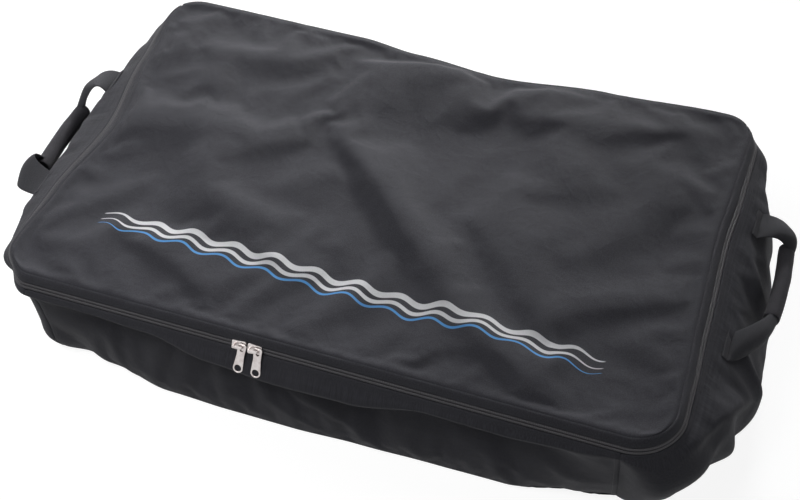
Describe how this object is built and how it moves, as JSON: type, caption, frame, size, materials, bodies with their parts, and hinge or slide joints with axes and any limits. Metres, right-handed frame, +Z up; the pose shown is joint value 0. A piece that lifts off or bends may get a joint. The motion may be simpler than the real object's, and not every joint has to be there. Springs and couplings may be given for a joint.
{
  "type": "zipped carry bag",
  "caption": "Low rectangular carry bag of black woven cloth with a zipped flap lid, end handles of webbing with padded grips, and metal zip sliders, lying shut.",
  "frame": {"origin": "centre of the bag's box on the floor it stands on", "axes": "+X along the length towards the right-hand handle, +Y towards the hinged back edge of the lid, +Z up"},
  "size_m": [1.0178, 0.59, 0.1966],
  "materials": {
    "cloth": "matt plain weave, coated",
    "webbing": "matt woven strap",
    "tape": "matt woven tape",
    "coil": "satin",
    "nickel": "satin nickel plate"
  },
  "bodies": {
    "bag_body": {"base_panel": "cloth", "front_wall": "cloth", "right_end_wall": "cloth", "back_wall": "cloth", "left_end_wall": "cloth", "base_seam_binding": "tape", "front_left_seam_binding": "tape", "front_right_seam_binding": "tape", "back_right_seam_binding": "tape", "back_left_seam_binding": "tape", "zip_tape_body": "tape", "zip_coil_body": "coil", "zip_stop_right": "nickel", "zip_stop_left": "nickel", "back_hinge_strip": "cloth", "right_handle_tab_back": "webbing", "right_handle_tab_front": "webbing", "left_handle_tab_back": "webbing", "left_handle_tab_front": "webbing"},
    "lid": {"lid_panel": "cloth", "lid_border": "cloth", "zip_tape_lid": "tape", "zip_coil_lid": "coil", "lid_seam_binding": "tape"},
    "slider_left": {"slider_left": "nickel"},
    "pull_left": {"pull_left": "nickel"},
    "slider_right": {"slider_right": "nickel"},
    "pull_right": {"pull_right": "nickel"},
    "handle_right": {"right_handle_webbing": "webbing", "right_handle_grip": "cloth"},
    "handle_left": {"left_handle_webbing": "webbing", "left_handle_grip": "cloth"}
  },
  "joints": [
    {"name": "lid_hinge", "type": "hinge", "parent": "bag_body", "child": "lid", "pos_m": [0, 0.2884, 0.174], "axis": [-1, 0, 0], "range_deg": [0, 180], "deforming": ["zip_tape_lid", "zip_coil_lid", "back_hinge_strip"]},
    {"name": "slider_left_slide", "type": "slide", "parent": "bag_body", "child": "slider_left", "axis": [-1, 0, 0], "range_m": [0, 0.275]},
    {"name": "slider_right_slide", "type": "slide", "parent": "bag_body", "child": "slider_right", "axis": [1, 0, 0], "range_m": [0, 0.43]},
    {"name": "pull_left_swing", "type": "hinge", "parent": "slider_left", "child": "pull_left", "pos_m": [-0.08809, -0.27766, 0.1713], "axis": [-1, 0, 0], "range_deg": [0, 28]},
    {"name": "pull_right_swing", "type": "hinge", "parent": "slider_right", "child": "pull_right", "pos_m": [-0.06809, -0.27766, 0.1713], "axis": [-1, 0, 0], "range_deg": [0, 28]},
    {"name": "handle_right_swing", "type": "hinge", "parent": "bag_body", "child": "handle_right", "pos_m": [0.45737, 0, 0.14457], "axis": [0, -1, 0], "range_deg": [0, 115]},
    {"name": "handle_left_swing", "type": "hinge", "parent": "bag_body", "child": "handle_left", "pos_m": [-0.4636, 0, 0.14479], "axis": [0, 1, 0], "range_deg": [0, 115]}
  ]
}
